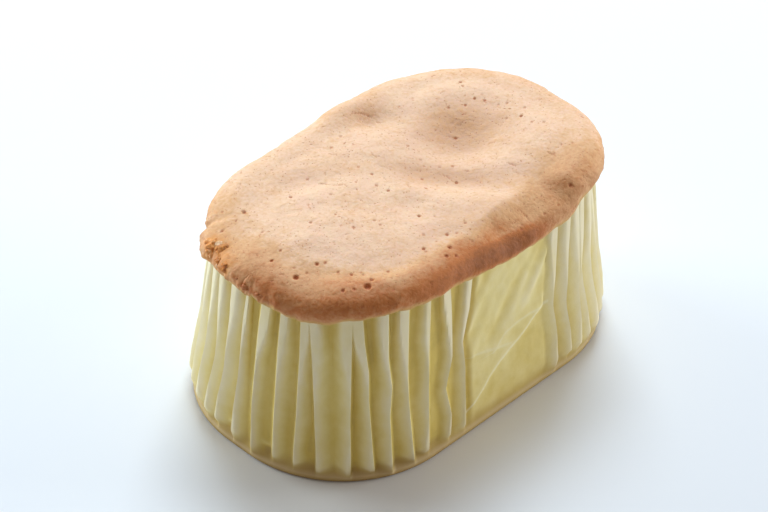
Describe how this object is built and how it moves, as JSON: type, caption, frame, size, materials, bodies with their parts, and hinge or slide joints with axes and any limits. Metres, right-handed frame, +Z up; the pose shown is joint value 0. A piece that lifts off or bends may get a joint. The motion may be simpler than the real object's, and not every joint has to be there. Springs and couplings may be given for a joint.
{
  "type": "castella",
  "caption": "Oval castella sponge cake with a browned, dimpled crust, standing in its pleated paper baking case.",
  "frame": {"origin": "middle of the case's flat underside, on the surface it stands on", "axes": "+X along the cake's long axis, +Y across it, +Z up"},
  "size_m": [0.0953, 0.0614, 0.0462],
  "materials": {
    "sponge": "matte baked crust with fine open bubbles",
    "paper": "thin greaseproof paper, slightly shiny, soaked where it touches the sponge"
  },
  "bodies": {
    "root": {"sponge": "sponge", "paper_case": "paper"}
  },
  "joints": []
}
